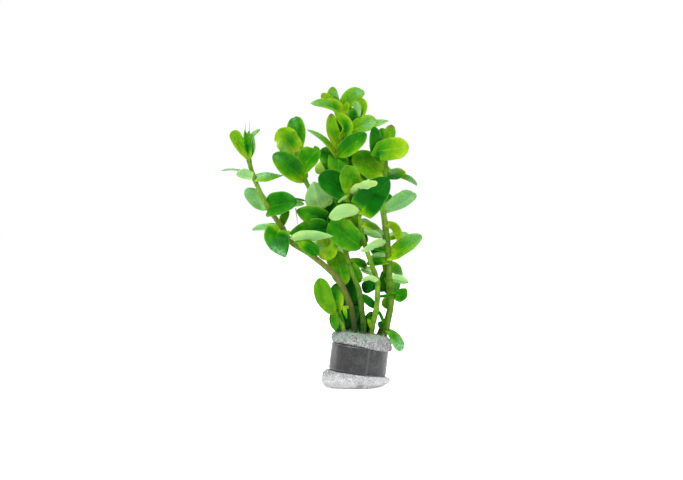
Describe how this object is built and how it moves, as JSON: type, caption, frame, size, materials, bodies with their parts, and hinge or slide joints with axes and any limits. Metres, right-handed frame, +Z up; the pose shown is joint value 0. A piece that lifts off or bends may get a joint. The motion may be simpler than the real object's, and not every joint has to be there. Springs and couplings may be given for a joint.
{
  "type": "aquarium plant bunch",
  "caption": "Bunch of leafy lemon bacopa stems standing in a leaning foam plug with a lead strip wound round it.",
  "frame": {"origin": "middle of the foam plug's flat underside, where the bunch stands", "axes": "+Z up along the bunch; +X to the right as the picture shows it; +Y to the back"},
  "size_m": [0.0979, 0.0552, 0.1468],
  "materials": {
    "leaf": "fleshy green leaf with a soft sheen",
    "stem": "smooth green stem, browner where it bends",
    "foam": "light grey fibrous filter foam",
    "lead": "dull dark grey lead sheet"
  },
  "bodies": {
    "root": {"bud_back_left": "leaf", "bud_back_right": "leaf", "bud_left": "leaf", "bud_right": "leaf", "foam_wrap": "foam", "lead_strip": "lead", "leaf_back_left_01": "leaf", "leaf_back_left_02": "leaf", "leaf_back_right_01": "leaf", "leaf_back_right_02": "leaf", "leaf_centre_01": "leaf", "leaf_centre_02": "leaf", "leaf_centre_03": "leaf", "leaf_left_01": "leaf", "leaf_left_02": "leaf", "leaf_left_03": "leaf", "leaf_left_04": "leaf", "leaf_left_05": "leaf", "leaf_left_06": "leaf", "leaf_left_07": "leaf", "leaf_left_08": "leaf", "leaf_low_left_01": "leaf", "leaf_low_left_02": "leaf", "leaf_middle_right_01": "leaf", "leaf_middle_right_02": "leaf", "leaf_middle_right_03": "leaf", "leaf_right_01": "leaf", "leaf_right_02": "leaf", "leaf_right_03": "leaf", "leaf_right_04": "leaf", "leaf_right_05": "leaf", "leaf_right_06": "leaf", "leaf_right_07": "leaf", "leaf_right_08": "leaf", "leaf_right_09": "leaf", "leaf_top_01": "leaf", "leaf_top_02": "leaf", "leaf_top_03": "leaf", "leaf_top_04": "leaf", "leaf_top_05": "leaf", "leaf_top_06": "leaf", "leaf_top_07": "leaf", "leaf_upper_left_01": "leaf", "leaf_upper_left_02": "leaf", "leaf_upper_left_03": "leaf", "leaf_upper_left_04": "leaf", "leaf_upper_left_05": "leaf", "leaf_upper_left_06": "leaf", "leaf_upper_left_07": "leaf", "leaf_upper_left_08": "leaf", "leaf_upper_left_09": "leaf", "stem_back_left": "stem", "stem_back_right": "stem", "stem_centre": "stem", "stem_left": "stem", "stem_low_left": "stem", "stem_middle_right": "stem", "stem_right": "stem", "stem_top": "stem", "stem_upper_left": "stem"}
  },
  "joints": []
}
